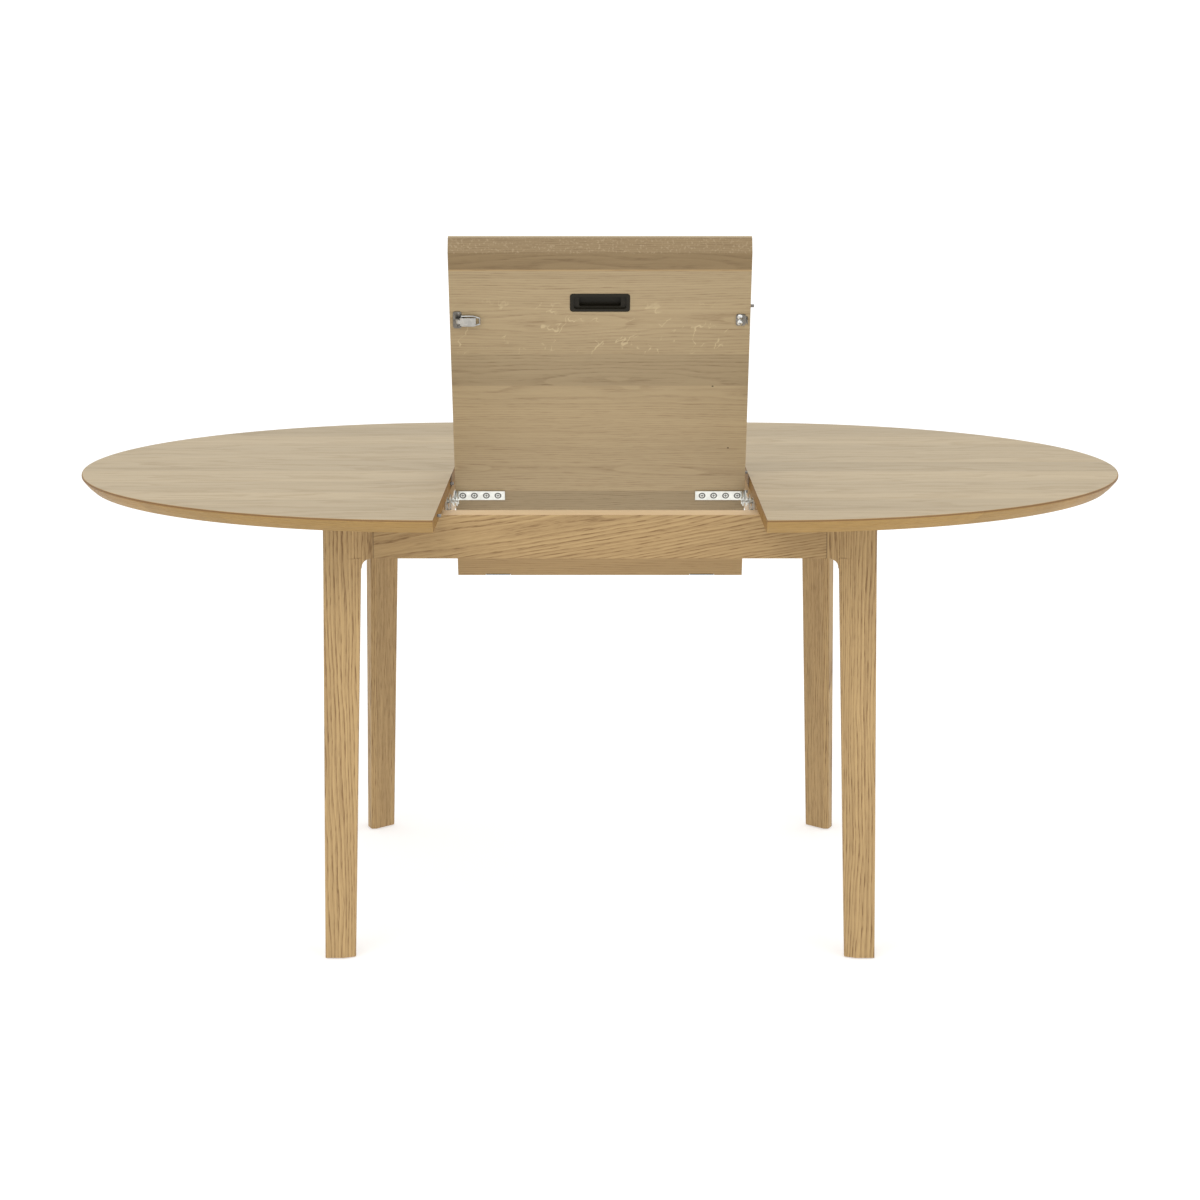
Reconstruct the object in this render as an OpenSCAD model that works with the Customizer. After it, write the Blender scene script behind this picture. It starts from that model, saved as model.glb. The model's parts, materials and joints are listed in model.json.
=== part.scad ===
// Round extending dining table with a folding butterfly leaf, in millimetres.
// The top is two half discs on wooden slides. They stand pulled apart, and the
// folded leaf is half way up between them, on two pivots inside the frame.
// Origin: on the floor, below the middle of the frame. X is the pull direction,
// Y runs from the front (-) to the back (+), Z is up.

/* [Top] */
// diameter of the closed round top
top_d = 1290; // [1000:5:1500]
// height of the top surface above the floor
top_h = 760; // [700:1:780]
// thickness of the top boards
top_t = 21.5; // [16:0.5:30]
// how far each half is pulled from the middle
half_open = 254; // [240:1:280]
// inset of the undercut rim at the underside
rim_inset = 17; // [0:1:40]
// height of the upright band of the rim
rim_band = 4; // [2:0.5:12]

/* [Leaf] */
// width of the folding leaf along X
leaf_w = 492; // [400:1:520]
// lean of the half-raised leaf from upright, in degrees
leaf_lean = 24.3; // [0:0.1:60]
// distance from the fold edge to the pivots
pivot_in = 165; // [120:1:200]
// distance from the leaf's underside to the pivots
pivot_drop = 18.5; // [12:0.5:24]

/* [Frame] */
// width over the legs along X, below the top
frame_w = 890; // [700:5:1000]
// depth over the legs along Y, below the top
frame_d = 832; // [700:1:1000]
// height of the top edge of the aprons
apron_top = 732; // [680:1:734]
// height of the aprons
apron_h = 71; // [50:1:100]
// thickness of the aprons
apron_t = 27; // [18:1:35]
// how far the aprons stand back from the legs' faces
apron_set = 12; // [0:1:20]

/* [Legs] */
// width of a leg under the apron
leg_w = 60; // [45:1:90]
// width of a leg at the floor, as a share of that
leg_taper = 0.8167; // [0.6:0.01:1]
// how far the foot stands out past the top of the leg
leg_splay = 4; // [0:0.5:10]
// radius of the knee between leg and apron
knee_r = 17.5; // [8:0.5:30]

/* [Hidden] */

$fn = 48;
eps = 0.01;                      // overrun of a cut past a face
oak = [0.78, 0.66, 0.48];
oak_dark = [0.70, 0.57, 0.40];
steel = [0.80, 0.81, 0.80];
black = [0.12, 0.12, 0.12];

// tabletop
top_r = top_d / 2;
top_z = top_h - top_t;           // underside of the top
mid_z = top_h - top_t / 2;       // middle of the board's thickness
rim_round = 1.6;                 // rounding of the top edge

// leaf
fold_gap = 0.5;                  // space between the folded halves
seam = 0.15;                     // half the gap between them when laid flat
fold_z = top_h + fold_gap / 2;   // height of the fold axis when laid flat
pivot_y = -pivot_in;
pivot_z = top_z - pivot_drop;
pin_r = 2.5;                     // alignment pins between the boards
pin_out = 6;
pin_in = 9;
pin_hole_r = 3.2;
pin_hole = 9;
pin_rows = [-525, -165, 190, 525];   // their places along Y
edge_x = leaf_w / 2;

// frame
apron_z = apron_top - apron_h;
apron_x = frame_w / 2 - apron_set;   // outer face of the side aprons
apron_y = frame_d / 2 - apron_set;   // outer face of the long aprons
arm = 80;                        // reach of the leg's corner block
leg_flat = 37;                   // flat part of a leg's outer faces
leg_bevel = 10;                  // drop of the slanted part beside it
leg_inner = 21;                  // where the inner 45 degree face starts
leg_round = 3;                   // rounding of the leg's edges
glide_h = 2;
glide_r = 11;
glide_in = 20;                   // place of a glide in from the foot's corner

// slides
guide_t = 25;
guide_h = 30;
groove_d = 9;
groove_z = 712;
groove_h = 10;
guide_x = frame_w / 2 - arm - 1;
bar_y = 312;                     // inner face of a moving slide
bar_w = 22;
bar_z = 709;
bar_x = [2, 334];                // its ends when the table is closed
shoe_x = [4, 104];
shoe_gap = 0.5;                  // play of a shoe in its groove
screw_x = [40, 168, 296];        // its screws when the table is closed
screw_r = 2.25;
notch = 1.5;                     // play round a slide in the side apron

// crossbars and pivots
cross_x = [262, 290];
cross_h = 38;
ear_x = [[241.5, 243.3], [246.7, 248.5]];
ear_r = 9;
plate_x = [[253, 255], [259, 262]];
plate_t = 3;
web_z = [703, 705];
bracket_r = 11;
pivot_r = 4;
run_fit = 0.05;                  // radial clearance of a running pivot
washer_x = [249, 250.2];
strap_t = 2.5;
strap_w = 17.5;
strap_end = 162;
strap_holes = [173.7, 193.5, 213.8, 233.5];
flat_head_r = 4.8;
flat_shank_r = 2;

// draw latch: origin on the bail's axis, x away from the seam, z off the board
latch_y = -505;
latch_leaf_x = -226;
latch_half_x = 274.6;
bail_z = 5;
bail_r = 29.1;
bail_wire = 1.3;
bail_y = 9;
bail_bend = 19;                  // where its arms draw in
bail_tip_y = 5.5;
hinge_x = -7;                    // lever pivot from the bail pivot
hinge_z = 5.5;
lever_end = 23;
lever_w = 14;
latch_screw = [-5, 11];
keeper_leaf_x = 229;             // its screws
keeper_half_x = -271.5;
keeper_lip = 11;                 // lip from the screws
keeper_screw_y = 5.1;
dome_h = 2.8;                    // height and radius of their domed heads
dome_r = 5.9;

// fold hinges
fold_x = 176.5;
mortise = [43, 2.8];
hinge_plate_y = [-2.5, -0.5];
knuckle_r = 2.25;
knuckle = 21;
knuckle_mid = 6.7;
hinge_pin_r = 1.2;

// finger pull
pull_pos = [0, -536.5];
pull_size = [98, 33];
pull_body = [92, 27];
pull_depth = 13;

// ---- helpers --------------------------------------------------------------

module at_corners() {
  for (sx = [-1, 1], sy = [-1, 1]) scale_corner(sx, sy) children();
}

// local frame of a leg: origin at its outer corner, x and y run inwards
module scale_corner(sx, sy) {
  translate([sx * frame_w / 2, sy * frame_d / 2, 0])
    mirror([sx > 0 ? 1 : 0, 0, 0]) mirror([0, sy > 0 ? 1 : 0, 0]) children();
}

module mirror_x(side) {
  mirror([side > 0 ? 0 : 1, 0, 0]) children();
}

module rod_x(x0, x1, r) {
  translate([x0, 0, 0]) rotate([0, 90, 0]) cylinder(h = x1 - x0, r = r);
}

module rod_y(y0, y1, r) {
  translate([0, y0, 0]) rotate([-90, 0, 0]) cylinder(h = y1 - y0, r = r);
}

module rounded(size, r) {
  union() {
    square([size[0] - 2 * r, size[1]], center = true);
    square([size[0], size[1] - 2 * r], center = true);
    for (sx = [-1, 1], sy = [-1, 1])
      translate([sx * (size[0] / 2 - r), sy * (size[1] / 2 - r)]) circle(r);
  }
}

// from laid flat to half raised, about the pivots
module raised() {
  translate([0, pivot_y, pivot_z]) rotate([leaf_lean - 90, 0, 0])
    translate([0, -pivot_y, -pivot_z]) children();
}

// from laid flat to folded over the front leaf
module folded() {
  translate([0, 0, fold_z]) rotate([180, 0, 0]) translate([0, 0, -fold_z])
    children();
}

// on the underside of a flat board, z pointing down off it
module underside(x, y) {
  translate([x, y, top_z]) rotate([180, 0, 0]) children();
}

// ---- frame ----------------------------------------------------------------

module leg_section() {
  offset(r = leg_round) offset(delta = -leg_round)
    polygon([[0, 0], [leg_flat, 0], [leg_w, leg_bevel], [leg_w, leg_inner],
             [leg_inner, leg_w], [leg_bevel, leg_w], [0, leg_flat]]);
}

module leg_block_section() {
  a = apron_set;
  b = apron_set + apron_t;
  polygon([[0, leg_round], [leg_round, 0], [leg_flat, 0], [leg_w + 2, a],
           [arm, a], [arm, b], [b, arm], [a, arm], [a, leg_w + 2], [0, leg_flat]]);
}

// concave knee under one arm of the corner block
module knee() {
  top = apron_z;
  difference() {
    translate([leg_w - 8, apron_set, top - knee_r])
      cube([knee_r + 8, apron_t - 12, knee_r + eps]);
    translate([leg_w + knee_r, 0, top - knee_r]) rod_y(0, arm, knee_r);
  }
}

module leg_blank() {
  hull() {
    translate([0, 0, apron_z]) linear_extrude(0.5) leg_section();
    translate([-leg_splay, -leg_splay, glide_h])
      linear_extrude(0.5) scale(leg_taper) leg_section();
  }
  translate([0, 0, apron_z]) linear_extrude(apron_h) leg_block_section();
  knee();
  mirror([1, -1, 0]) knee();
}

bolt_r = 4;
bolt_z = 683;
bolt_from = 45;                  // along the diagonal, from the leg's corner
brace_face = 81;

module diagonal_bolt_space(from, to, r) {
  translate([0, 0, bolt_z]) rotate([0, 0, 45])
    rod_x(from * sqrt(2), to * sqrt(2), r);
}

module leg(sx, sy) {
  color(oak) scale_corner(sx, sy) difference() {
    leg_blank();
    diagonal_bolt_space(bolt_from, brace_face, bolt_r);
  }
}

module leg_front_left() { leg(-1, -1); }
module leg_front_right() { leg(1, -1); }
module leg_back_left() { leg(-1, 1); }
module leg_back_right() { leg(1, 1); }

module long_apron(side) {
  length = frame_w - 2 * arm;
  y = side > 0 ? apron_y - apron_t : -apron_y;
  color(oak) translate([-length / 2, y, apron_z]) cube([length, apron_t, apron_h]);
}

module apron_front() { long_apron(-1); }
module apron_back() { long_apron(1); }

module side_apron(side) {
  length = frame_d - 2 * arm;
  x = side > 0 ? apron_x - apron_t : -apron_x;
  cut_from = bar_y - notch;
  color(oak) difference() {
    translate([x, -length / 2, apron_z]) cube([apron_t, length, apron_h]);
    for (y = [cut_from, -length / 2 - eps])
      translate([x - eps, y, bar_z - notch])
        cube([apron_t + 2 * eps, length / 2 - cut_from + eps, apron_h]);
  }
}

module apron_left() { side_apron(-1); }
module apron_right() { side_apron(1); }

brace_z = [666, 699];
brace_near = 84;
brace_far = 118;

module corner_braces() {
  inner = apron_set + apron_t;
  color(oak_dark) at_corners() difference() {
    translate([0, 0, brace_z[0]]) linear_extrude(brace_z[1] - brace_z[0])
      polygon([[brace_near, inner], [brace_far, inner],
               [inner, brace_far], [inner, brace_near]]);
    diagonal_bolt_space(bolt_from, brace_face + 5, bolt_r);
  }
}

module corner_bolts() {
  face = (brace_far + apron_set + apron_t) / 2;
  color(steel) at_corners() {
    diagonal_bolt_space(bolt_from, face + 8, bolt_r);
    diagonal_bolt_space(face, face + 1.2, 11);
    translate([0, 0, bolt_z]) rotate([0, 0, 45]) translate([(face + 1.2) * sqrt(2), 0, 0])
      rotate([0, 90, 0]) cylinder(h = 7, r = 7.5, $fn = 6);
  }
}

// fixed rail on the inner face of a long apron, grooved for the shoes
module guide(side) {
  face = apron_y - apron_t;
  color(oak_dark) mirror([0, side > 0 ? 0 : 1, 0]) difference() {
    translate([-guide_x, face - guide_t, apron_top - guide_h])
      cube([2 * guide_x, guide_t, guide_h]);
    translate([-guide_x - eps, face - guide_t - eps, groove_z])
      cube([2 * guide_x + 2 * eps, groove_d + eps, groove_h]);
  }
}

module guide_front() { guide(-1); }
module guide_back() { guide(1); }

module travel_stops() {
  face = apron_y - apron_t - guide_t;
  color(steel) for (sx = [-1, 1], sy = [-1, 1])
    mirror([sx > 0 ? 0 : 1, 0, 0]) mirror([0, sy > 0 ? 0 : 1, 0])
      translate([guide_x - 4, face, groove_z]) cube([4, groove_d, groove_h]);
}

module crossbar(side) {
  reach = apron_y - apron_t;
  color(oak_dark) mirror_x(side) difference() {
    translate([cross_x[0], -reach, apron_z])
      cube([cross_x[1] - cross_x[0], 2 * reach, cross_h]);
    for (z = bracket_screw_z) translate([0, pivot_y, z])
      rod_x(cross_x[0] - eps, cross_x[0] + 16, flat_shank_r);
  }
}

module crossbar_left() { crossbar(-1); }
module crossbar_right() { crossbar(1); }

bracket_screw_z = [672, 689];

module pivot_bracket(side) {
  base_z = apron_z + 4;
  color(steel) mirror_x(side) difference() {
    union() {
      for (i = [0, 1], low = i == 0 ? web_z[0] : base_z) {
        translate([plate_x[i][0], pivot_y - bracket_r, low])
          cube([plate_x[i][1] - plate_x[i][0], 2 * bracket_r, pivot_z - low]);
        translate([0, pivot_y, pivot_z]) rod_x(plate_x[i][0], plate_x[i][1], bracket_r);
      }
      translate([plate_x[0][0], pivot_y - bracket_r, web_z[0]])
        cube([plate_x[1][1] - plate_x[0][0], 2 * bracket_r, web_z[1] - web_z[0]]);
    }
    translate([0, pivot_y, pivot_z]) rod_x(plate_x[0][0] - 1, cross_x[0] + 1, pivot_r + run_fit);
    for (z = bracket_screw_z) translate([0, pivot_y, z])
      rod_x(cross_x[0] - plate_t - 1, cross_x[0] + 1, flat_shank_r);
  }
}

module pivot_bracket_left() { pivot_bracket(-1); }
module pivot_bracket_right() { pivot_bracket(1); }

module bracket_screws() {
  color(steel) for (side = [-1, 1], z = bracket_screw_z)
    mirror_x(side) translate([0, pivot_y, z]) {
      rod_x(cross_x[0] - plate_t, cross_x[0] + 16, flat_shank_r);
      rod_x(cross_x[0] - plate_t - 2, cross_x[0] - plate_t, 4);
    }
}

module foot_glides() {
  color(black) at_corners() translate([glide_in - leg_splay, glide_in - leg_splay, 0])
    cylinder(h = glide_h, r = glide_r);
}

// ---- sliding halves -------------------------------------------------------

// the rim from the underside up: a bevel, an upright band, a rounded top edge
function rim_points(r) = [
  [r - rim_inset, top_z],
  [r - rim_inset * 0.45, top_z + (top_t - rim_band) * 0.48],
  [r, top_h - rim_band],
  [r, top_h - rim_round],
  [r - rim_round * 0.3, top_h - rim_round * 0.3],
  [r - rim_round, top_h]
];

// half disc in the closed place: flat cut at x = 0, bow towards +x
module half_disc() {
  rotate([0, 0, -90]) rotate_extrude(angle = 180, $fn = 180)
    polygon(concat([[0, top_z]], rim_points(top_r), [[0, top_h]]));
}

module slide_screw(r) {
  for (x = screw_x, y = [-1, 1])
    translate([half_open + x, y * (bar_y + bar_w / 2), bar_z + 7])
      cylinder(h = top_h - 8 - bar_z - 7, r = r);
}

// holes in a cut face for the other half's pins
module pin_holes(x) {
  for (y = pin_rows) translate([x, y, mid_z]) rod_x(-pin_hole, pin_hole, pin_hole_r);
}

module pins(x, rows) {
  for (y = rows) translate([x, y, mid_z]) rod_x(-pin_in, pin_out, pin_r);
}

module pin_sockets(x, rows) {
  for (y = rows) translate([x, y, mid_z]) rod_x(-pin_in, eps, pin_r);
}

module tabletop_left() {
  color(oak) difference() {
    mirror([1, 0, 0]) translate([half_open, 0, 0]) half_disc();
    mirror([1, 0, 0]) slide_screw(screw_r);
    pin_sockets(-half_open, pin_rows);
    underside(keeper_half_x, latch_y) keeper_screw_holes();
  }
}

module tabletop_right() {
  color(oak) difference() {
    translate([half_open, 0, 0]) half_disc();
    slide_screw(screw_r);
    pin_holes(half_open);
    underside(latch_half_x, latch_y) latch_screw_holes();
  }
}

module slide_bar(sx, sy) {
  color(oak_dark) mirror_x(sx) mirror([0, sy > 0 ? 0 : 1, 0]) difference() {
    translate([half_open + bar_x[0], bar_y, bar_z])
      cube([bar_x[1] - bar_x[0], bar_w, top_z - bar_z]);
    slide_screw(screw_r);
    for (x = screw_x) translate([half_open + x, bar_y + bar_w / 2, bar_z - eps])
      cylinder(h = 7, r = 5.5);
  }
}

module slide_left_front() { slide_bar(-1, -1); }
module slide_left_back() { slide_bar(-1, 1); }
module slide_right_front() { slide_bar(1, -1); }
module slide_right_back() { slide_bar(1, 1); }

module shoes(sx) {
  face = apron_y - apron_t - guide_t;
  length = shoe_x[1] - shoe_x[0];
  color(black) for (sy = [-1, 1])
    mirror_x(sx) mirror([0, sy > 0 ? 0 : 1, 0]) {
      translate([half_open + shoe_x[0], bar_y + bar_w, bar_z])
        cube([length, face - bar_y - bar_w - shoe_gap, 20]);
      translate([half_open + shoe_x[0], bar_y + bar_w, groove_z + shoe_gap])
        cube([length, face - bar_y - bar_w + groove_d - shoe_gap, groove_h - 2 * shoe_gap]);
    }
}

module slide_shoes_left() { shoes(-1); }
module slide_shoes_right() { shoes(1); }

module slide_screws(sx) {
  color(steel) mirror_x(sx) {
    slide_screw(screw_r);
    for (x = screw_x, sy = [-1, 1])
      translate([half_open + x, sy * (bar_y + bar_w / 2), bar_z + 4])
        cylinder(h = 3, r = 4.5);
  }
}

module slide_screws_left() { slide_screws(-1); }
module slide_screws_right() { slide_screws(1); }

module dowel_pins_left() { color(steel) pins(-half_open, pin_rows); }

// ---- latch and keeper, z pointing off the board ---------------------------

module latch_screw_holes() {
  for (s = [-1, 1]) translate([latch_screw[0], s * latch_screw[1], -10])
    cylinder(h = 10 + eps, r = 1.5);
}

module latch_screws() {
  for (s = [-1, 1]) translate([latch_screw[0], s * latch_screw[1], 0]) {
    translate([0, 0, -10]) cylinder(h = 12, r = 1.5);
    translate([0, 0, 1.5]) cylinder(h = 1.9, r1 = 3.3, r2 = 1.9);
  }
}

module latch_base() {
  difference() {
    union() {
      translate([-7.5, 0, 0]) linear_extrude(1.5) rounded([14, 31], 4);
      for (s = [-1, 1]) translate([hinge_x - 3, s > 0 ? 3.8 : -5.3, 0])
        cube([6, 1.5, 8]);
      translate([hinge_x, 0, hinge_z]) rod_y(-5.3, 5.3, 1.5);
    }
    for (s = [-1, 1]) translate([latch_screw[0], s * latch_screw[1], -1])
      cylinder(h = 4, r = 1.5);
  }
}

module latch_lever() {
  web_y = 5.6;
  difference() {
    union() {
      translate([hinge_x, 0, hinge_z]) rod_y(-3.5, 3.5, 2.8);
      translate([hinge_x, -3.5, 6.8]) cube([8, 7, 1.5]);
      translate([-3, -lever_w / 2, 6.8]) cube([lever_end + 3, lever_w, 1.5]);
      for (s = [-1, 1]) translate([-2.8, s > 0 ? web_y : -lever_w / 2, 2.9])
        cube([9, lever_w / 2 - web_y, 4.5]);
    }
    translate([hinge_x, 0, hinge_z]) rod_y(-4, 4, 1.5 + run_fit);
    translate([0, 0, bail_z]) rod_y(-8, 8, bail_wire + run_fit);
  }
}

module latch_bail() {
  run = bail_r - bail_bend;
  draw = bail_y - bail_tip_y;
  translate([0, 0, bail_z]) {
    for (s = [-1, 1]) {
      translate([0, s > 0 ? 5.7 : -bail_y, 0]) rod_y(0, bail_y - 5.7, bail_wire);
      translate([0, s * bail_y, 0]) rod_x(0, bail_bend, bail_wire);
      translate([bail_bend, s * bail_y, 0]) rotate([0, 0, -s * atan2(draw, run)])
        rod_x(0, sqrt(run * run + draw * draw), bail_wire);
      for (x = [0, bail_bend]) translate([x, s * bail_y, 0]) sphere(bail_wire);
      translate([bail_r, s * bail_tip_y, 0]) sphere(bail_wire);
    }
    translate([bail_r, 0, 0]) rod_y(-bail_tip_y, bail_tip_y, bail_wire);
  }
}

module keeper_screw_holes() {
  for (s = [-1, 1]) translate([0, s * keeper_screw_y, -10])
    cylinder(h = 10 + eps, r = 1.5);
}

module keeper_screws() {
  for (s = [-1, 1]) translate([0, s * keeper_screw_y, 0]) {
    translate([0, 0, -10]) cylinder(h = 12, r = 1.5);
    translate([0, 0, 1.5]) difference() {
      intersection() {
        translate([0, 0, dome_h - dome_r]) sphere(dome_r);
        cylinder(h = dome_h, r = 5);
      }
      for (a = [0, 90]) rotate([0, 0, a]) translate([-1.7, -0.6, dome_h - 1.2])
        cube([3.4, 1.2, 2]);
    }
  }
}

// origin between the two screws, lip towards +x
module keeper() {
  difference() {
    union() {
      translate([1.5, 0, 0]) linear_extrude(1.5) rounded([16, 21], 4);
      translate([0, -6, 0]) cube([keeper_lip + 1.5, 12, 1.5]);
      translate([keeper_lip, -4.2, 0]) cube([1.5, 8.4, 9]);
    }
    for (s = [-1, 1]) translate([0, s * keeper_screw_y, -1])
      cylinder(h = 4, r = 1.5);
  }
}

module keeper_left() { color(steel) underside(keeper_half_x, latch_y) keeper(); }
module keeper_screws_left() {
  color(steel) underside(keeper_half_x, latch_y) keeper_screws();
}
module latch_base_right() { color(steel) underside(latch_half_x, latch_y) latch_base(); }
module latch_screws_right() {
  color(steel) underside(latch_half_x, latch_y) latch_screws();
}
module latch_lever_right() {
  color(steel) underside(latch_half_x, latch_y) latch_lever();
}
module latch_bail_right() {
  color(steel) underside(latch_half_x, latch_y) latch_bail();
}

// ---- leaf, drawn laid flat and then raised --------------------------------

// front board laid flat: fold edge at y = 0, rim end at y = -top_r
module leaf_board() {
  rotate([90, 0, 90]) linear_extrude(leaf_w, center = true)
    polygon(concat([[-seam, top_z]], [for (p = rim_points(top_r)) [-p[0], p[1]]],
                   [[-seam, top_h]]));
}

module hinge_mortises() {
  for (s = [-1, 1]) translate([s * fold_x - mortise[0] / 2, -mortise[1], top_z - 1])
    cube([mortise[0], mortise[1] + 1, top_t + 2]);
}

module strap_shanks() {
  for (s = [-1, 1], x = strap_holes) underside(s * x, pivot_y)
    translate([0, 0, -12]) cylinder(h = 12 + eps, r = flat_shank_r);
}

leaf_front_rows = [pin_rows[0], pin_rows[1]];
leaf_back_rows = [pin_rows[2]];

module leaf_front() {
  color(oak) raised() difference() {
    leaf_board();
    hinge_mortises();
    strap_shanks();
    underside(pull_pos[0], pull_pos[1]) translate([0, 0, -pull_depth])
      linear_extrude(pull_depth + 1) rounded(pull_body, 4);
    pin_holes(-edge_x);
    pin_sockets(edge_x, leaf_front_rows);
    underside(latch_leaf_x, latch_y) latch_screw_holes();
    underside(keeper_leaf_x, latch_y) keeper_screw_holes();
  }
}

module leaf_back() {
  color(oak) raised() folded() difference() {
    mirror([0, 1, 0]) leaf_board();
    mirror([0, 1, 0]) hinge_mortises();
    pin_holes(-edge_x);
    pin_sockets(edge_x, leaf_back_rows);
  }
}

module dowel_pins_leaf_front() { color(steel) raised() pins(edge_x, leaf_front_rows); }
module dowel_pins_leaf_back() {
  color(steel) raised() folded() pins(edge_x, leaf_back_rows);
}

module pull_cup() {
  color(black) raised() underside(pull_pos[0], pull_pos[1]) difference() {
    union() {
      linear_extrude(0.8) rounded(pull_size, 5);
      translate([0, 0, -pull_depth]) linear_extrude(pull_depth) rounded(pull_body, 4);
    }
    translate([0, 0, -3]) linear_extrude(5) rounded([86, 23], 4);
    translate([0, 0, 1.5 - pull_depth]) linear_extrude(pull_depth) rounded([68, 17], 3);
  }
}

module strap(side) {
  color(steel) raised() mirror_x(side) difference() {
    union() {
      translate([strap_end, pivot_y - strap_w / 2, top_z - strap_t])
        cube([edge_x - strap_end, strap_w, strap_t]);
      translate([ear_x[0][0], pivot_y - strap_w / 2, top_z - strap_t])
        cube([ear_x[1][1] - ear_x[0][0], strap_w, strap_t - 0.4]);
      for (e = ear_x) {
        translate([e[0], pivot_y - strap_w / 2, pivot_z])
          cube([e[1] - e[0], strap_w, pivot_drop - 1]);
        translate([0, pivot_y, pivot_z]) rod_x(e[0], e[1], ear_r);
      }
    }
    translate([0, pivot_y, pivot_z])
      rod_x(ear_x[0][0] - 1, ear_x[1][1] + 1, pivot_r + run_fit);
    for (x = strap_holes) underside(x, pivot_y)
      cylinder(h = strap_t + eps, r1 = flat_shank_r, r2 = flat_head_r + 0.6);
  }
}

module strap_left() { strap(-1); }
module strap_right() { strap(1); }

module strap_screws() {
  color(steel) raised() for (s = [-1, 1], x = strap_holes)
    underside(s * x, pivot_y) difference() {
      union() {
        cylinder(h = strap_t, r1 = flat_shank_r, r2 = flat_head_r);
        translate([0, 0, -12]) cylinder(h = 12 + eps, r = flat_shank_r);
      }
      for (a = [0, 90]) rotate([0, 0, a]) translate([-2.6, -0.6, strap_t - 1.2])
        cube([5.2, 1.2, 2]);
    }
}

module latch_base_leaf() { color(steel) raised() underside(latch_leaf_x, latch_y) latch_base(); }
module latch_screws_leaf() {
  color(steel) raised() underside(latch_leaf_x, latch_y) latch_screws();
}
module latch_lever_leaf() {
  color(steel) raised() underside(latch_leaf_x, latch_y) latch_lever();
}
module latch_bail_leaf() {
  color(steel) raised() underside(latch_leaf_x, latch_y) latch_bail();
}
module keeper_leaf() { color(steel) raised() underside(keeper_leaf_x, latch_y) keeper(); }
module keeper_screws_leaf() {
  color(steel) raised() underside(keeper_leaf_x, latch_y) keeper_screws();
}

// one leaf of a fold hinge, laid flat on the front side of the fold
module hinge_plate(parts, bore) {
  plate_x = mortise[0] - 1;
  thick = hinge_plate_y[1] - hinge_plate_y[0];
  difference() {
    union() {
      translate([-plate_x / 2, hinge_plate_y[0], top_z + 0.3])
        cube([plate_x, thick, top_t - 3]);
      for (p = parts) {
        translate([p[0], hinge_plate_y[0], top_h - 3]) cube([p[1] - p[0], thick, 2.5]);
        translate([0, 0, fold_z]) rod_x(p[0], p[1], knuckle_r);
      }
    }
    translate([0, 0, fold_z]) rod_x(-knuckle - 1, knuckle + 1, bore);
  }
}

module hinges_front() {
  outer = knuckle_mid + 0.3;
  color(steel) raised() for (s = [-1, 1]) translate([s * fold_x, 0, 0])
    hinge_plate([[-knuckle, -outer], [outer, knuckle]], hinge_pin_r);
}

module hinge_pins() {
  color(steel) raised() for (s = [-1, 1]) translate([s * fold_x, 0, fold_z])
    rod_x(-knuckle, knuckle, hinge_pin_r);
}

module hinges_back() {
  color(steel) raised() folded() for (s = [-1, 1]) translate([s * fold_x, 0, 0])
    mirror([0, 1, 0]) hinge_plate([[-knuckle_mid, knuckle_mid]], hinge_pin_r + run_fit);
}

module pivot_pin(side) {
  color(steel) raised() mirror_x(side) translate([0, pivot_y, pivot_z]) {
    rod_x(239.3, 264.5, pivot_r);
    rod_x(239.3, 241.2, 6);
    rod_x(washer_x[0], washer_x[1], 7);
    rod_x(262.3, 264.5, 6.5);
  }
}

module pivot_pin_left() { pivot_pin(-1); }
module pivot_pin_right() { pivot_pin(1); }

// ---- what is drawn -------------------------------------------------------

leg_front_left();
leg_front_right();
leg_back_left();
leg_back_right();
apron_front();
apron_back();
apron_left();
apron_right();
corner_braces();
corner_bolts();
guide_front();
guide_back();
travel_stops();
crossbar_left();
crossbar_right();
pivot_bracket_left();
pivot_bracket_right();
bracket_screws();
foot_glides();
tabletop_left();
slide_left_front();
slide_left_back();
slide_shoes_left();
slide_screws_left();
dowel_pins_left();
keeper_left();
keeper_screws_left();
tabletop_right();
slide_right_front();
slide_right_back();
slide_shoes_right();
slide_screws_right();
latch_base_right();
latch_screws_right();
latch_lever_right();
latch_bail_right();
pivot_pin_left();
pivot_pin_right();
leaf_front();
pull_cup();
strap_left();
strap_right();
strap_screws();
latch_base_leaf();
latch_screws_leaf();
keeper_leaf();
keeper_screws_leaf();
dowel_pins_leaf_front();
hinges_front();
hinge_pins();
latch_lever_leaf();
latch_bail_leaf();
leaf_back();
hinges_back();
dowel_pins_leaf_back();
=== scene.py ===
"""A round extending dining table in natural oak.

Its halves are pulled apart, and its folded leaf stands half raised between them.
"""

import json
import math

import bpy
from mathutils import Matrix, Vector

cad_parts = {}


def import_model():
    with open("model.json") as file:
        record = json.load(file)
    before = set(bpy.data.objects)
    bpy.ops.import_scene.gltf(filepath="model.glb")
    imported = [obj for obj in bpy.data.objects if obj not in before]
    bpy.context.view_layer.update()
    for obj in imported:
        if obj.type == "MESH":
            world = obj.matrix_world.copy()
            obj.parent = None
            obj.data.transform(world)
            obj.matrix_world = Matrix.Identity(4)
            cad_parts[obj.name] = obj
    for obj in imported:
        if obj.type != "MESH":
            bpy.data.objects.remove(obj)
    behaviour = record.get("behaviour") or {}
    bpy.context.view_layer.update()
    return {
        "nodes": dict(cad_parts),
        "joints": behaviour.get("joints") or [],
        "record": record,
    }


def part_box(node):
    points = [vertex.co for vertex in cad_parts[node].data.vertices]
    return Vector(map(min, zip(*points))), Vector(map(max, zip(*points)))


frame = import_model()
nodes = frame["nodes"]

X = (1.0, 0.0, 0.0)
Y = (0.0, 1.0, 0.0)
Z = (0.0, 0.0, 1.0)

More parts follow.
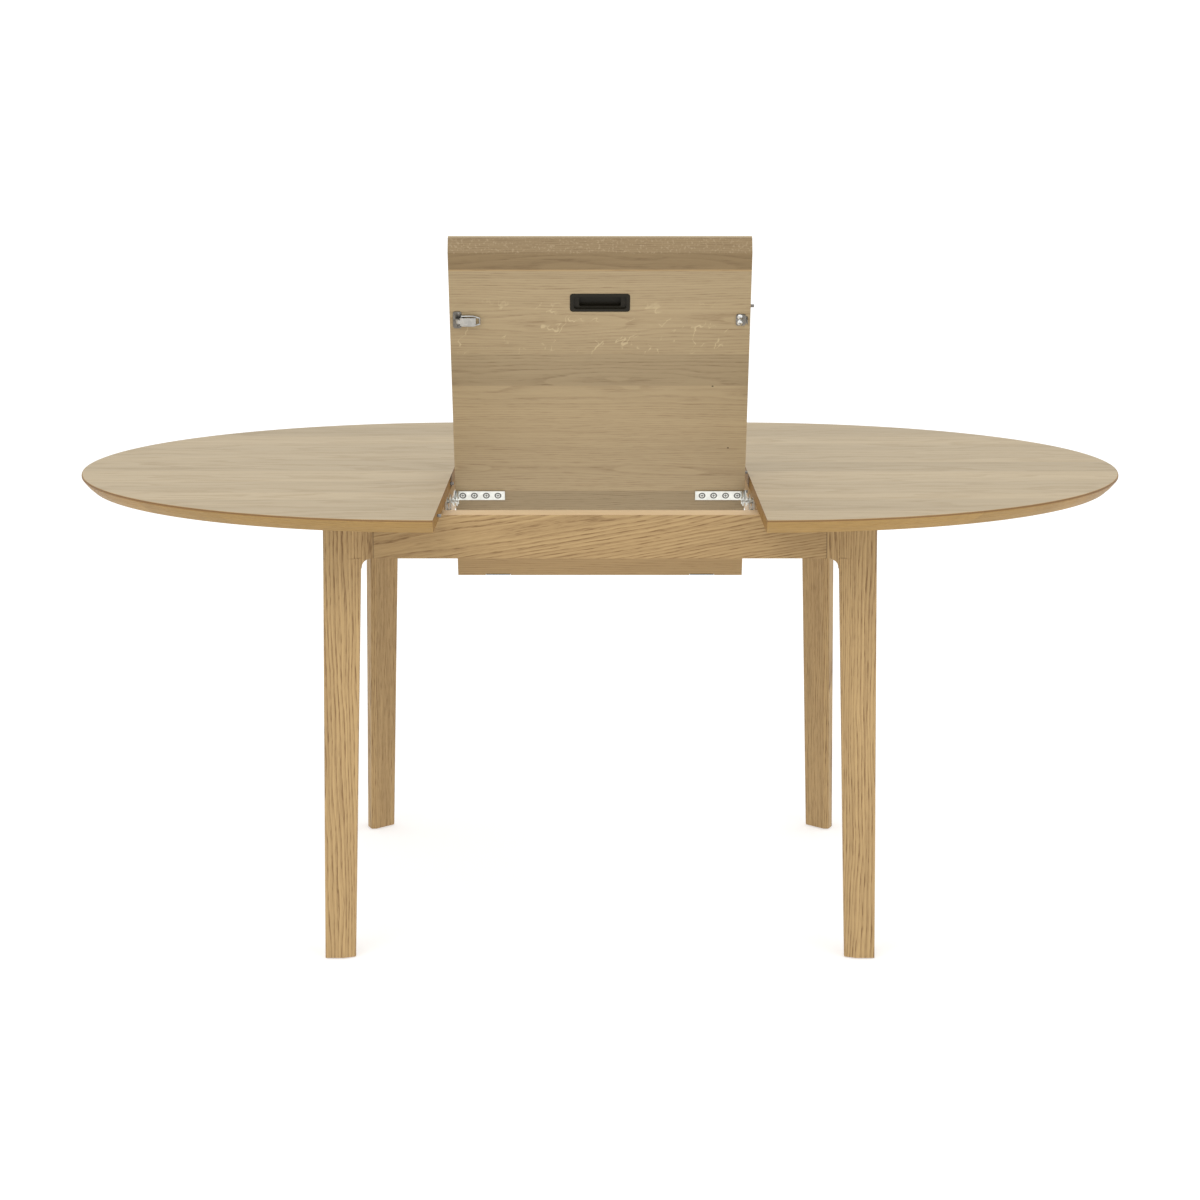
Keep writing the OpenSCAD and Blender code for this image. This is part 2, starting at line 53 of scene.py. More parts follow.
joints = {joint["name"]: joint for joint in frame["joints"]}
pivot = Vector(joints["leaf_layout"]["pos_m"])
fold_edge = Vector(joints["leaf_unfold"]["pos_m"])
lean = math.radians(joints["leaf_layout"]["range_deg"][1])
up_leaf = (0.0, -math.cos(lean), math.sin(lean))
off_leaf = (0.0, math.sin(lean), math.cos(lean))


# ---- small helpers for node graphs ---------------------------------------


class Graph:
    """Builds a shader tree, taking numbers or sockets as inputs."""

    def __init__(self, tree):
        self.tree = tree

    def node(self, kind, inputs=None, **props):
        made = self.tree.nodes.new("ShaderNode" + kind)
        for key, value in props.items():
            setattr(made, key, value)
        for key, value in (inputs or {}).items():
            self.feed(made.inputs[key], value)
        return made

    def feed(self, socket, value):
        if isinstance(value, bpy.types.NodeSocket):
            self.tree.links.new(value, socket)
        elif value is not None:
            socket.default_value = value

    def math(self, operation, *values, clamp=False):
        made = self.node("Math", operation=operation, use_clamp=clamp)
        for socket, value in zip(made.inputs, values):
            self.feed(socket, value)
        return made.outputs[0]

    def vector(self, operation, *values):
        made = self.node("VectorMath", operation=operation)
        for socket, value in zip(made.inputs, values):
            self.feed(socket, value)
        return made.outputs["Value" if operation in ("DOT_PRODUCT", "LENGTH") else "Vector"]

    def combine(self, x, y, z):
        return self.node("CombineXYZ", {"X": x, "Y": y, "Z": z}).outputs[0]

    def split(self, vector):
        return self.node("SeparateXYZ", {"Vector": vector}).outputs

    def noise(self, vector, stretch, seed, detail=2.0, rough=0.5):
        scaled = self.vector("MULTIPLY", vector, stretch)
        made = self.node(
            "TexNoise",
            {"Vector": scaled, "W": seed, "Scale": 1.0, "Detail": detail, "Roughness": rough},
            noise_dimensions="4D",
        )
        return made.outputs["Fac"]

    def ramp(self, value, stops, interpolation="LINEAR"):
        made = self.node("ValToRGB", {"Fac": value})
        ramp = made.color_ramp
        ramp.interpolation = interpolation
        while len(ramp.elements) < len(stops):
            ramp.elements.new(1.0)
        for element, (place, shade) in zip(ramp.elements, stops):
            element.position = place
            element.color = (shade, shade, shade, 1.0)
        return made.outputs["Color"]

    def span(self, value, low, high, to_low=0.0, to_high=1.0):
        made = self.node(
            "MapRange",
            {"Value": value, "From Min": low, "From Max": high, "To Min": to_low, "To Max": to_high},
        )
        return made.outputs["Result"]

    def mix(self, factor, a, b, blend="MIX"):
        made = self.node("Mix", data_type="RGBA", blend_type=blend)
        self.feed(made.inputs["Factor"], factor)
        sockets = [s for s in made.inputs if s.type == "RGBA"]
        for socket, value in zip(sockets, (a, b)):
            self.feed(socket, (*value, 1.0) if isinstance(value, tuple) else value)
        return [s for s in made.outputs if s.type == "RGBA"][0]


def material(name):
    made = bpy.data.materials.new(name)
    made.use_nodes = True
    graph = Graph(made.node_tree)
    return made, graph, made.node_tree.nodes["Principled BSDF"]


def dress(names, made):
    for name in names:
        obj = nodes[name]
        obj.data.materials.clear()
        obj.data.materials.append(made)


# ---- oak: annual rings, pores and streaks in a solid block ----------------


def oak_group():
    """Inputs: a point in the board's own axes (x along the grain, z through its thickness)."""
    tree = bpy.data.node_groups.new("oak_grain", "ShaderNodeTree")
    for name, kind in (
        ("Point", "NodeSocketVector"),
        ("Seed", "NodeSocketFloat"),
        ("Pith", "NodeSocketVector"),
        ("Ring", "NodeSocketFloat"),
    ):
        tree.interface.new_socket(name, in_out="INPUT", socket_type=kind)
    for name in ("Dark", "Height", "Broad"):
        tree.interface.new_socket(name, in_out="OUTPUT", socket_type="NodeSocketFloat")
    g = Graph(tree)
    source = tree.nodes.new("NodeGroupInput").outputs
    sink = tree.nodes.new("NodeGroupOutput").inputs
    point, seed, pith, ring = (source[n] for n in ("Point", "Seed", "Pith", "Ring"))
    _, y, z = g.split(point)
    _, pith_y, pith_z = g.split(pith)
    slow_a = g.noise(point, (1.6, 7.0, 7.0), seed, 2.0)
    slow_b = g.noise(point, (2.3, 9.0, 9.0), g.math("ADD", seed, 11.0), 2.0)
    fine = g.noise(point, (9.0, 60.0, 60.0), g.math("ADD", seed, 23.0), 2.0)
    sway = g.math("MULTIPLY", g.math("SUBTRACT", slow_a, 0.5), 0.028)
    lift = g.math("MULTIPLY", g.math("SUBTRACT", slow_b, 0.5), 0.024)
    across = g.math("ADD", g.math("SUBTRACT", y, pith_y), sway)
    through = g.math("ADD", g.math("SUBTRACT", z, pith_z), lift)
    middle = g.noise(point, (6.0, 28.0, 28.0), g.math("ADD", seed, 61.0), 2.0)
    wobble = g.math("MULTIPLY", g.math("SUBTRACT", fine, 0.5), 0.0022)
    wobble = g.math("ADD", wobble, g.math("MULTIPLY", g.math("SUBTRACT", middle, 0.5), 0.008))
    radius = g.math("ADD", g.vector("LENGTH", g.combine(0.0, across, through)), wobble)
    turn = g.math("FRACT", g.math("DIVIDE", radius, ring))
    early = g.ramp(turn, [(0.0, 0.85), (0.12, 1.0), (0.38, 0.35), (0.7, 0.08), (0.93, 0.0), (1.0, 0.85)])
    pore = g.noise(point, (55.0, 1500.0, 1500.0), g.math("ADD", seed, 5.0), 1.0)
    pores = g.math("MULTIPLY", g.span(pore, 0.54, 0.66), g.span(early, 0.0, 1.0, 0.25, 1.0))
    coarse = g.noise(point, (34.0, 480.0, 480.0), g.math("ADD", seed, 71.0), 2.0, 0.6)
    coarse = g.math("MULTIPLY", g.span(coarse, 0.50, 0.66), g.span(early, 0.0, 0.8, 0.2, 1.0))
    streak = g.noise(point, (4.0, 210.0, 210.0), g.math("ADD", seed, 31.0), 3.0, 0.6)
    broad = g.noise(point, (1.1, 16.0, 16.0), g.math("ADD", seed, 47.0), 2.0)
    dark = g.math("MULTIPLY", early, 0.26)
    dark = g.math("ADD", dark, g.math("MULTIPLY", pores, 0.22))
    dark = g.math("ADD", dark, g.math("MULTIPLY", coarse, 0.46))
    dark = g.math("ADD", dark, g.span(streak, 0.3, 0.7, -0.12, 0.2))
    depth = g.math("ADD", g.math("MULTIPLY", pores, 0.8), g.math("MULTIPLY", early, 0.2))
    height = g.math("SUBTRACT", 1.0, depth)
    g.feed(sink["Dark"], g.math("ADD", dark, 0.0, clamp=True))
    g.feed(sink["Height"], height)
    g.feed(sink["Broad"], broad)
    return tree


OAK = oak_group()


PLAIN_TONE = 0.69  # how light a part made from one board is, on the scale of the boards' tones
MOST_BOARDS = 20.0  # more than any face has, so that a board's number fits in a ramp
RAMP_ZERO = 0.5  # a ramp holds no negative value, so a board's middle is kept this much higher
END_GRAIN = (0.80, 0.70, 0.56)
KNOT = (0.03, 0.017, 0.008)
JOINT_LINE = (0.07, 0.04, 0.018)
STIPPLE = (0.50, 0.40, 0.25)
RAY = (0.56, 0.45, 0.27)
STIPPLED_BOARD = (1.03, 0.94, 0.80)


def oak(
    name,
    axes,
    light,
    dark,
    seed,
    seams=(),
    tones=(),
    ring=0.0034,
    pith=(0.0, 0.0, -0.06),
    origin=(0.0, 0.0, 0.0),
    slant=0.0,
    contrast=1.0,
    flecks=None,
    cap=None,
    warm=None,
    stipple=None,
    knots=(),
    joint=None,
    above=None,
    edge=None,
):
    """Wood cut from a log, as a material of one part.

    axes: the grain, across and thickness directions, measured from the origin.
    seams, tones: where glued boards meet along the across axis, and how light each board is.
    ring, pith: the width of a year's growth, and where the log's middle lies.
    slant: how much the grain runs off the grain axis. contrast: how strong the rings are.
    warm: where a tint starts and ends across the part, and the tint.
    above: the light and dark colours of the face that looks along the thickness direction.
    The rest are finishing touches of some parts, and each one's function says what it adds.
    """
    made, g, shader = material(name)
    place = g.node("TexCoord").outputs
    local = g.vector("SUBTRACT", place["Object"], origin)
    along, over, through = (g.vector("DOT_PRODUCT", local, axis) for axis in axes)
    over = g.math("ADD", over, g.math("MULTIPLY", along, slant))
    board, tone, middle = glued_boards(g, over, seams, tones)
    chance = g.node("TexWhiteNoise", {"W": g.math("ADD", board, seed)}, noise_dimensions="1D")
    chance_along, chance_over, chance_through = g.split(chance.outputs["Color"])
    shifted = g.combine(g.math("ADD", along, g.math("MULTIPLY", chance_along, 3.0)), over, through)
    pith_y = g.math("ADD", g.math("ADD", middle, pith[1]), g.span(chance_over, 0.0, 1.0, -0.05, 0.05))
    pith_z = g.math("ADD", pith[2], g.span(chance_through, 0.0, 1.0, -0.04, 0.03))
    grain = g.node("Group", node_tree=OAK)
    for key, value in (
        ("Point", shifted),
        ("Seed", g.math("ADD", g.math("MULTIPLY", board, 3.7), seed)),
        ("Pith", g.combine(0.0, pith_y, pith_z)),
        ("Ring", ring),
    ):
        g.feed(grain.inputs[key], value)
    amount = g.math("MULTIPLY", grain.outputs["Dark"], contrast, clamp=True)
    colour = g.mix(amount, light, dark)
    broad = g.span(grain.outputs["Broad"], 0.3, 0.7, -0.05, 0.05)
    shade = g.math("ADD", g.span(tone, 0.0, 1.0, 0.5, 1.2), broad)
    colour = tinted(g, 1.0, colour, g.combine(shade, shade, shade))
    if flecks:
        colour = add_flecks(g, colour, along, over, flecks)
    facing = g.math("ABSOLUTE", g.vector("DOT_PRODUCT", place["Normal"], axes[0]))
    colour = tinted(g, g.span(facing, 0.45, 0.9), colour, END_GRAIN)
    if cap:
        colour = light_top(g, colour, place, cap)
    if warm:
        start, stop, tint = warm
        colour = tinted(g, g.span(over, start, stop, 1.0, 0.0), colour, tint)
    if stipple:
        colour = add_stipple(g, colour, local, over, stipple)
    for knot in knots:
        colour = add_knot(g, colour, along, over, knot)
    if joint:
        colour = add_joint_lines(g, colour, place, joint)
    if above:
        face = g.span(g.vector("DOT_PRODUCT", place["Normal"], axes[2]), 0.3, 0.6)
        colour = g.mix(face, colour, g.mix(g.math("MULTIPLY", amount, 0.9), *above))
    if edge:
        colour = tint_edge_and_shade_line(g, colour, place, through, axes[2], edge)
    bump = g.node("Bump", {"Height": grain.outputs["Height"], "Strength": 0.18, "Distance": 0.0004})
    g.feed(shader.inputs["Base Color"], colour)
    g.feed(shader.inputs["Roughness"], g.span(amount, 0.0, 1.0, 0.50, 0.62))
    g.feed(shader.inputs["Normal"], bump.outputs["Normal"])
    shader.inputs["Specular IOR Level"].default_value = 0.4
    return made


def glued_boards(g, over, seams, tones):
    """The number, the tone and the middle of the board that a point lies in."""
    if not seams:
        return 0.0, PLAIN_TONE, 0.0
    low, high = seams[0], seams[-1]
    spread = g.span(over, low, high)

    def by_board(values):
        starts = ((seam - low) / (high - low) for seam in seams[:-1])
        return g.ramp(spread, list(zip(starts, values)), "CONSTANT")

    numbers = by_board([i / MOST_BOARDS for i in range(len(seams) - 1)])
    middles = by_board([RAMP_ZERO + (s + t) / 2 for s, t in zip(seams[:-1], seams[1:])])
    board = g.math("MULTIPLY", numbers, MOST_BOARDS)
    return board, by_board(tones), g.math("SUBTRACT", middles, RAMP_ZERO)


def darker(colour, share):
    return tuple(share * v for v in colour)


def tinted(g, factor, colour, tint):
    return g.mix(factor, colour, g.mix(1.0, colour, tint, "MULTIPLY"))


def light_top(g, colour, place, cap):
    """An upper edge whose upward-facing face is paler than the sides."""
    _, _, up = g.split(place["Normal"])
    return g.mix(g.span(up, 0.8, 0.95), colour, g.mix(0.25, cap, colour))


def add_stipple(g, colour, local, over, band):
    """A warmer last board, with small dots that start at the second height."""
    board, dotted = band
    dots = g.noise(local, (260.0, 260.0, 260.0), 6.0, 2.0)
    dots = g.math("MULTIPLY", g.span(dots, 0.54, 0.66), g.span(over, dotted, dotted + 0.004))
    warmer = g.mix(1.0, colour, STIPPLED_BOARD, "MULTIPLY")
    colour = g.mix(g.span(over, board - 0.0005, board), colour, warmer)
    return g.mix(g.math("MULTIPLY", dots, 0.22), colour, STIPPLE)


def add_knot(g, colour, along, over, knot):
    """A small dark knot, longer along the grain than across it."""
    at_along, at_over, size = knot
    off_along = g.math("SUBTRACT", along, at_along)
    off_over = g.math("MULTIPLY", g.math("SUBTRACT", over, at_over), 1.4)
    near = g.vector("LENGTH", g.combine(off_along, off_over, 0.0))
    return g.mix(g.span(near, size * 0.5, size, 0.9, 0.0), colour, KNOT)


def add_joint_lines(g, colour, place, joint):
    """A thin dark line to the left and right of the middle, where the apron meets a corner block."""
    off_middle = g.math("ABSOLUTE", g.split(place["Object"])[0])
    reach = g.math("ABSOLUTE", g.math("SUBTRACT", off_middle, joint))
    return g.mix(g.span(reach, 0.0006, 0.0014, 0.45, 0.0), colour, JOINT_LINE)


def tint_edge_and_shade_line(g, colour, place, through, normal, edge):
    """The oiled rim is more golden than the faces, with a darker line of painted shade close under the top
    edge.
    """
    # line: the colour of the painted shade line
    top, tint, line = edge
    side = g.math("ABSOLUTE", g.vector("DOT_PRODUCT", place["Normal"], normal))
    side = g.math("SUBTRACT", 1.0, g.span(side, 0.93, 0.985))
    streak = g.noise(place["Object"], (30.0, 30.0, 700.0), 4.0, 2.0)
    streaked = g.mix(g.span(streak, 0.3, 0.7), tint, darker(tint, 0.86))
    colour = tinted(g, side, colour, streaked)
    # painted shade: a dark line about 0.5 to 3 mm under the top edge, on the sides only
    deep = g.math("SUBTRACT", top, through)
    band = g.math("MULTIPLY", g.span(deep, 0.0002, 0.0007), g.span(deep, 0.0022, 0.0032, 1.0, 0.0))
    band = g.math("MULTIPLY", band, side)
    return g.mix(g.math("MULTIPLY", band, 0.8), colour, line)


def add_flecks(g, colour, along, over, band):
    """Pale wavy rays that cross one board, thickest in its lower half."""
    low, high = band
    spot = g.combine(along, over, 0.0)
    drift = g.noise(spot, (60.0, 90.0, 1.0), 5.0, 2.0)
    drift = g.math("MULTIPLY", g.math("SUBTRACT", drift, 0.5), 0.02)
    drift = g.math("ADD", drift, g.math("MULTIPLY", over, -0.5))
    bent = g.combine(g.math("ADD", along, drift), over, 0.0)
    bend = g.noise(bent, (26.0, 13.0, 1.0), 3.0, 2.0, 0.55)
    line = g.math("ABSOLUTE", g.math("SUBTRACT", bend, 0.5))
    where = g.span(g.noise(spot, (30.0, 42.0, 1.0), 8.0, 2.0), 0.50, 0.58)
    fade = g.span(over, low + 0.075, high - 0.045, 1.0, 0.0)
    inside = g.math("MULTIPLY", g.span(over, low, low + 0.002), fade)
    thin = g.math("SUBTRACT", 1.0, g.span(line, 0.003, 0.011))
    amount = g.math("MULTIPLY", g.math("MULTIPLY", thin, where), g.math("MULTIPLY", inside, 0.6))
    return g.mix(amount, colour, RAY)


TOP_LIGHT = (0.475, 0.380, 0.242)
TOP_DARK = (0.33, 0.245, 0.138)
LEAF_LIGHT = (0.388, 0.295, 0.168)
LEAF_DARK = (0.215, 0.142, 0.072)
FRAME_LIGHT = (0.475, 0.318, 0.142)
FRAME_DARK = (0.20, 0.112, 0.042)
CAP = (0.80, 0.60, 0.37)

BOARD_CONTRAST = 0.85
APRON_HALF = 0.365  # from the middle of the apron to each joint line

TOP_HEIGHT = 0.76
RIM_AND_SHADE_LINE = (TOP_HEIGHT, (0.81, 0.61, 0.275), (0.16, 0.075, 0.025))  # height, tint and the colour of a painted shade line under the top edge
TOP_SEAMS = (-0.66, -0.55, -0.43, -0.35, -0.22, -0.09, 0.035, 0.16, 0.30, 0.41, 0.55, 0.66)
TOP_TONES = (0.69, 0.60, 0.75, 0.66, 0.76, 0.62, 0.72, 0.69, 0.76, 0.61, 0.69)
for side, seed, contrast in (("left", 2.0, 0.9), ("right", 9.0, BOARD_CONTRAST)):
    made = oak(
        "oak_top_" + side,
        (X, Y, Z),
        TOP_LIGHT,
        TOP_DARK,
        seed,
        TOP_SEAMS,
        TOP_TONES,
        contrast=contrast,
        edge=RIM_AND_SHADE_LINE,
    )
    dress(["tabletop_" + side], made)

# measured up the raised leaf from its fold
FLECKED_SEAM = 0.4395
STIPPLED_SEAM = 0.5946
LEAF_SEAMS = (-0.01, 0.1718, 0.3115, 0.3787, FLECKED_SEAM, STIPPLED_SEAM, 0.66)
LEAF_TONES = (0.47, 0.81, 0.78, 0.51, 0.70, 0.17)
LEAF_AXES = (X, up_leaf, off_leaf)
leaf_front = oak(
    "oak_leaf_front",
    LEAF_AXES,
    LEAF_LIGHT,
    LEAF_DARK,
    5.0,
    LEAF_SEAMS,
    LEAF_TONES,
    origin=tuple(fold_edge),
    contrast=BOARD_CONTRAST,
    flecks=(FLECKED_SEAM, STIPPLED_SEAM),
    warm=(0.06, 0.12, (1.17, 1.02, 0.79)),
    stipple=(STIPPLED_SEAM, 0.624),
    knots=((0.187, 0.379, 0.0022), (0.2155, 0.259, 0.0022)),
    above=(TOP_LIGHT, TOP_DARK),
)
leaf_back = oak(
    "oak_leaf_back",
    LEAF_AXES,
    TOP_LIGHT,
    TOP_DARK,
    14.0,
    LEAF_SEAMS,
    TOP_TONES,
    origin=tuple(fold_edge),
    contrast=0.8,
)
dress(["leaf_front"], leaf_front)
dress(["leaf_back"], leaf_back)

APRON_RING = 0.0042
FRONT_SLANT = -0.17
FRONT_KNOT = (0.295, 0.705)
apron_front = oak(
    "oak_apron_front",
    (X, Z, Y),
    darker(FRAME_LIGHT, 0.88),
    FRAME_DARK,
    1.0,
    ring=0.0046,
    pith=(0.0, 0.72, -0.435),
    slant=FRONT_SLANT,
    contrast=1.55,
    cap=CAP,
    knots=((FRONT_KNOT[0], FRONT_KNOT[1] + FRONT_SLANT * FRONT_KNOT[0], 0.003),),
    joint=APRON_HALF,
)
dress(["apron_front"], apron_front)
for name, axes, seed, pith, cap in (
    ("apron_back", (X, Z, Y), 6.0, (0.0, 0.68, 0.42), CAP),
    ("apron_left", (Y, Z, X), 3.0, (0.0, 0.69, -0.44), None),
    ("apron_right", (Y, Z, X), 4.0, (0.0, 0.69, 0.44), None),
):
    made = oak("oak_" + name, axes, FRAME_LIGHT, FRAME_DARK, seed, ring=APRON_RING, pith=pith, cap=cap)
    dress([name], made)

PITH_OFF_LEG = 0.05  # the log's middle lies this far from the leg's, towards the table's middle and back
for number, name in enumerate(("leg_front_left", "leg_front_right", "leg_back_left", "leg_back_right")):
    low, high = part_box(name)
    centre = (low + high) / 2
    side = 1.0 if centre.x > 0 else -1.0
    made = oak(
        "oak_" + name,
        (Z, X, Y),
        FRAME_LIGHT,
        FRAME_DARK,
        20.0 + number,
        ring=0.0036,
        pith=(0.0, centre.x - side * PITH_OFF_LEG, centre.y + PITH_OFF_LEG),
        contrast=1.5,
        joint=APRON_HALF,
    )
    dress([name], made)

for name, parts, axes, light, dark, seed in (
    ("rail", ("guide_front", "guide_back"), (X, Z, Y), (0.74, 0.56, 0.35), (0.56, 0.39, 0.22), 31.0),
    (
        "slide",
        ("slide_left_front", "slide_left_back", "slide_right_front", "slide_right_back"),
        (X, Z, Y),
        (0.60, 0.43, 0.25),
        (0.44, 0.29, 0.15),
        33.0,
    ),
    (
        "bar",
        ("crossbar_left", "crossbar_right", "corner_braces"),
        (Y, Z, X),
        (0.58, 0.42, 0.24),
        (0.42, 0.28, 0.14),
        36.0,
    ),
):
    dress(parts, oak("beech_" + name, axes, light, dark, seed, contrast=0.5))


# ---- metal and plastic ----------------------------------------------------


STRAP_SCREWS = (0.1737, 0.1935, 0.2138, 0.2335)  # to the left and right of the middle
# the colour of the painted shade round and in the screw heads
SCREW_SHADE = (0.035, 0.033, 0.030)


def zinc(name, low, high, screws=()):
    """Zinc plated steel, cloudy and finely scratched, with painted shade in its creases and round any
    screws.
    """
    made, g, shader = material(name)
    spot = g.node("TexCoord").outputs["Object"]
    cloud = g.noise(spot, (90.0, 90.0, 90.0), 1.0, 4.0, 0.6)
    scratch = g.noise(spot, (60.0, 1400.0, 1400.0), 2.0, 2.0)
    colour = g.mix(g.span(cloud, 0.35, 0.65), low, high)
    # painted shade: darker where ambient occlusion finds a crease within 3 mm
    crease_shade = g.node("AmbientOcclusion", {"Distance": 0.003}).outputs["AO"]
    colour = g.mix(g.span(crease_shade, 0.35, 0.85), darker(low, 0.25), colour)
    for screw in screws:
        colour = paint_screw_shade(g, colour, spot, screw)
    g.feed(shader.inputs["Base Color"], colour)
    g.feed(shader.inputs["Roughness"], g.span(scratch, 0.3, 0.7, 0.26, 0.42))
    bump = g.node("Bump", {"Height": scratch, "Strength": 0.08, "Distance": 0.0002})
    g.feed(shader.inputs["Normal"], bump.outputs["Normal"])
    shader.inputs["Metallic"].default_value = 1.0
    return made


def paint_screw_shade(g, colour, spot, screw):
    """Painted shade: a dark ring round a screw's head, where it meets its countersink, and a dark spot in
    its middle, where its recess is, in line with the leaf's pivot.
    """
    x, y, z = g.split(spot)
    off_y = g.math("MULTIPLY", g.math("SUBTRACT", y, pivot.y), up_leaf[1])
    off_z = g.math("MULTIPLY", g.math("SUBTRACT", z, pivot.z), up_leaf[2])
    off_x = g.math("SUBTRACT", g.math("ABSOLUTE", x), screw)
    away = g.vector("LENGTH", g.combine(off_x, g.math("ADD", off_y, off_z), 0.0))
    # painted shade in the gap round the head, and in the recess at its middle
    ring = g.math("MULTIPLY", g.span(away, 0.0030, 0.0040), g.span(away, 0.0054, 0.0062, 1.0, 0.0))
    ring = g.math("MAXIMUM", ring, g.span(away, 0.0010, 0.0018, 0.8, 0.0))
    return g.mix(g.math("MULTIPLY", ring, 0.85), colour, SCREW_SHADE)


def black():
    made, g, shader = material("black_moulding")
    spot = g.node("TexCoord").outputs["Object"]
    speck = g.noise(spot, (1500.0, 1500.0, 1500.0), 1.0, 2.0)
    g.feed(shader.inputs["Base Color"], g.mix(speck, (0.009, 0.0075, 0.004), (0.018, 0.015, 0.009)))
    g.feed(shader.inputs["Roughness"], g.span(speck, 0.3, 0.7, 0.38, 0.55))
    bump = g.node("Bump", {"Height": speck, "Strength": 0.15, "Distance": 0.0002})
    g.feed(shader.inputs["Normal"], bump.outputs["Normal"])
    shader.inputs["Specular IOR Level"].default_value = 0.2
    return made


# a dark, faintly clouded steel
def dark_steel_shader():
    made, g, shader = material("dark_grey_steel")
    spot = g.node("TexCoord").outputs["Object"]
    cloud = g.noise(spot, (300.0, 300.0, 300.0), 1.0, 3.0)
    g.feed(shader.inputs["Base Color"], g.mix(cloud, (0.05, 0.042, 0.034), (0.10, 0.086, 0.07)))
    shader.inputs["Metallic"].default_value = 0.8
    shader.inputs["Roughness"].default_value = 0.45
    return made


ZINC = zinc("zinc_plate", (0.40, 0.40, 0.39), (0.60, 0.60, 0.58))
STRAP = zinc("strap_plate", (0.70, 0.71, 0.67), (0.86, 0.87, 0.82), STRAP_SCREWS)
PLATE = zinc("latch_plate", (0.17, 0.165, 0.155), (0.34, 0.33, 0.31))
DOME = zinc("bright_screw", (0.62, 0.62, 0.60), (0.78, 0.78, 0.75))
SCREW = zinc("screw_steel", (0.16, 0.15, 0.14), (0.30, 0.29, 0.27))
BLACK = black()
DARK_STEEL_SHADER = dark_steel_shader()
# by how a node's name starts: the first match counts, and the last one takes all that are left
METALS = (
    (("keeper_screws",), DOME),
    (("keeper", "latch_base"), PLATE),
    # dark zinc; on the dowel pins this darkness is painted shade
    (("latch_screws", "dowel_pins", "slide_screws", "bracket_screws"), SCREW),
    (("strap", "pivot"), STRAP),
    (("",), ZINC),
)
for part in frame["record"]["subparts"]:
    node = part["node"]
    if part["material_slot"] == "zinc_plated":
        dress([node], next(made for starts, made in METALS if node.startswith(starts)))
    if part["material_slot"] == "dark_steel":
        dress([node], DARK_STEEL_SHADER)
    if part["material_slot"] == "black_plastic":
        dress([node], BLACK)


# ---- softened edges -------------------------------------------------------


WOOD_EDGE = 0.0009
PLATE_EDGE = 0.0003
LATCH_EDGE = 0.0002


def soften(name, width):
    made = nodes[name].modifiers.new("edge", "BEVEL")
    made.width = width
    made.segments = 2
    made.limit_method = "ANGLE"
    made.angle_limit = math.radians(35.0)
    made.harden_normals = True


for part in frame["record"]["subparts"]:
    node = part["node"]
    if part["material_slot"] in ("oak_top", "oak_frame", "beech"):
        soften(node, WOOD_EDGE)
    elif node.startswith(("strap_left", "strap_right", "pivot_bracket", "keeper_left", "keeper_leaf")):
        soften(node, PLATE_EDGE)
    elif node.startswith(("latch_base", "latch_lever")):
        soften(node, LATCH_EDGE)


# ---- camera, light and floor ----------------------------------------------


EYE = (0.0, -4.6264, 1.3728)
EYE_TILT = math.radians(82.977)
LENS_MM = 79.68
LENS_SHIFT = -0.133
TABLE_MIDDLE = (0.0, 0.0, 0.6)
FLOOR_HALF = 30.0


def camera():
    data = bpy.data.cameras.new("camera")
    data.lens = LENS_MM
    data.sensor_width = 36.0
    data.shift_y = LENS_SHIFT
    data.clip_end = 2 * FLOOR_HALF
    obj = bpy.data.objects.new("camera", data)
    obj.location = EYE
    obj.rotation_euler = (EYE_TILT, 0.0, 0.0)
    bpy.context.collection.objects.link(obj)
    bpy.context.scene.camera = obj


def area(name, place, size, power):
    data = bpy.data.lights.new(name, "AREA")
    data.shape = "RECTANGLE"
    data.size, data.size_y = size
    data.energy = power
    obj = bpy.data.objects.new(name, data)
    obj.location = place
    obj.rotation_euler = (Vector(TABLE_MIDDLE) - Vector(place)).to_track_quat("-Z", "Y").to_euler()
    bpy.context.collection.objects.link(obj)


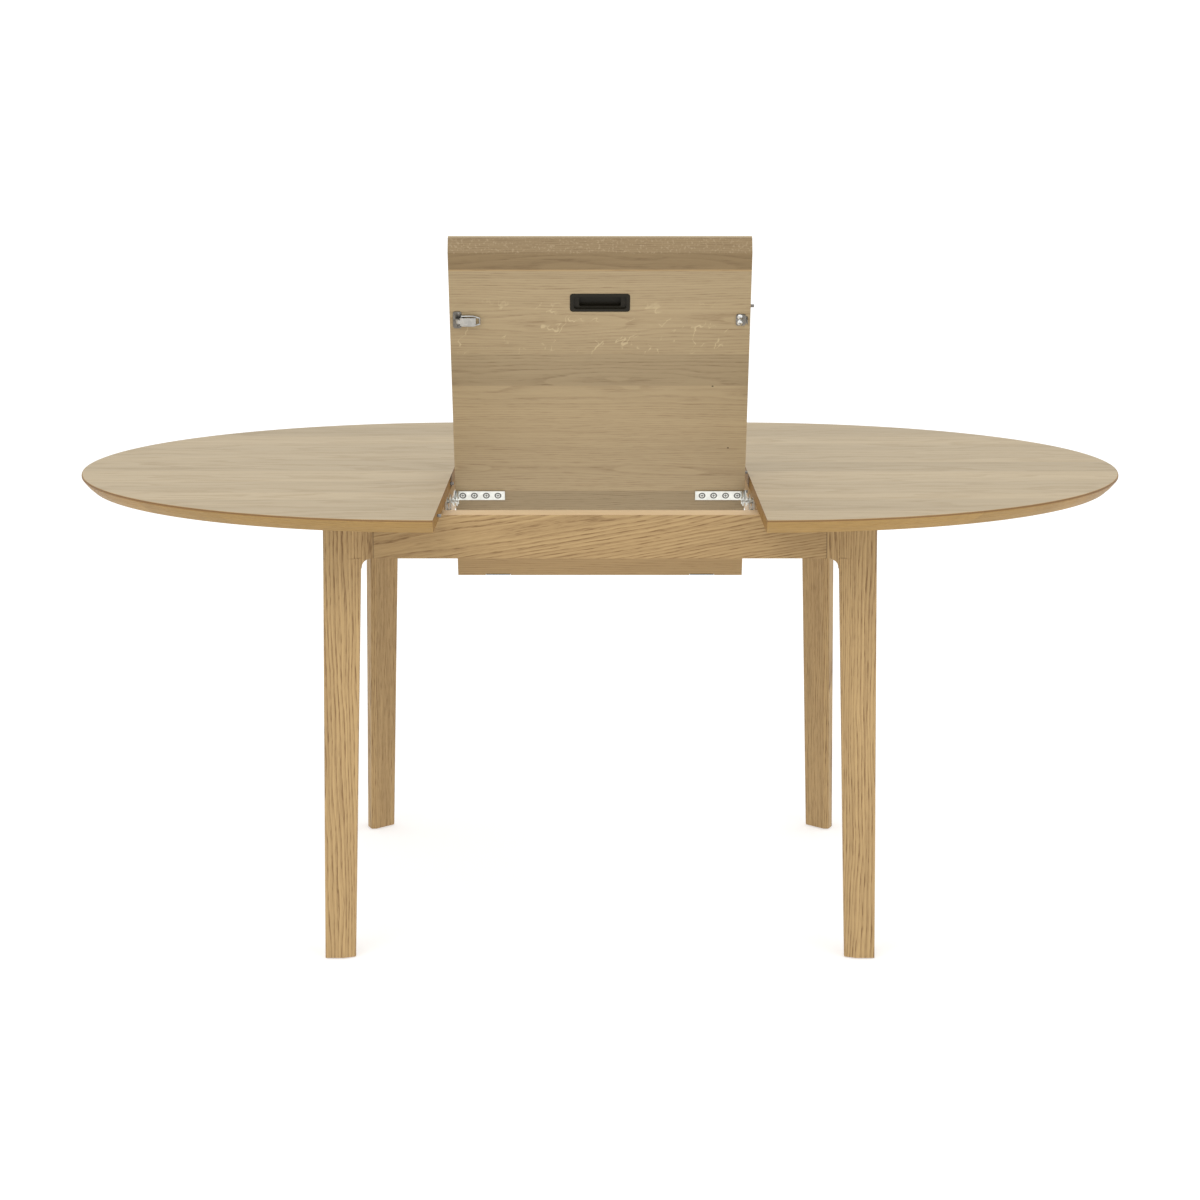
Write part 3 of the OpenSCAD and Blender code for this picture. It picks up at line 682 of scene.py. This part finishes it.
def world():
    """Pure white behind the table, and a softly graded studio in everything it reflects."""
    made = bpy.data.worlds.new("studio")
    made.use_nodes = True
    g = Graph(made.node_tree)
    for old in list(made.node_tree.nodes):
        made.node_tree.nodes.remove(old)
    _, y, z = g.split(g.node("TexCoord").outputs["Generated"])
    sky = g.ramp(g.span(z, -1.0, 1.0), [(0.0, 0.9), (0.47, 0.82), (0.56, 0.55), (0.72, 0.95), (1.0, 1.25)])
    front = g.span(y, -1.0, 1.0, 1.08, 0.86)
    seen = g.node("LightPath").outputs["Is Camera Ray"]
    graded = g.mix(1.0, sky, g.combine(front, front, front), "MULTIPLY")
    room = g.node("Background", {"Color": graded, "Strength": 1.0})
    plain = g.node("Background", {"Color": (1.0, 1.0, 1.0, 1.0), "Strength": 1.2})
    both = g.node("MixShader")
    for socket, value in zip(both.inputs, (seen, room.outputs[0], plain.outputs[0])):
        g.feed(socket, value)
    end = g.node("OutputWorld")
    g.feed(end.inputs["Surface"], both.outputs[0])
    bpy.context.scene.world = made


def floor():
    """A pale floor that glows a little, so that it meets the white background without an edge."""
    mesh = bpy.data.meshes.new("floor")
    corners = [(FLOOR_HALF * x, FLOOR_HALF * y, 0) for x, y in ((-1, -1), (1, -1), (1, 1), (-1, 1))]
    mesh.from_pydata(corners, [], [(0, 1, 2, 3)])
    made, g, shader = material("floor")
    spot = g.node("TexCoord").outputs["Object"]
    cloud = g.noise(spot, (0.8, 0.8, 0.8), 1.0)
    g.feed(shader.inputs["Base Color"], g.mix(cloud, (0.62, 0.62, 0.62), (0.64, 0.64, 0.64)))
    shader.inputs["Emission Color"].default_value = (1.0, 1.0, 1.0, 1.0)
    shader.inputs["Emission Strength"].default_value = 0.50
    shader.inputs["Roughness"].default_value = 0.9
    mesh.materials.append(made)
    obj = bpy.data.objects.new("floor", mesh)
    bpy.context.collection.objects.link(obj)


camera()
area("key", (-1.6, -3.2, 3.6), (3.0, 2.0), 45.0)
area("fill", (2.4, -3.0, 2.2), (2.5, 2.0), 25.0)
bpy.context.scene.view_settings.view_transform = "Standard"
world()
floor()
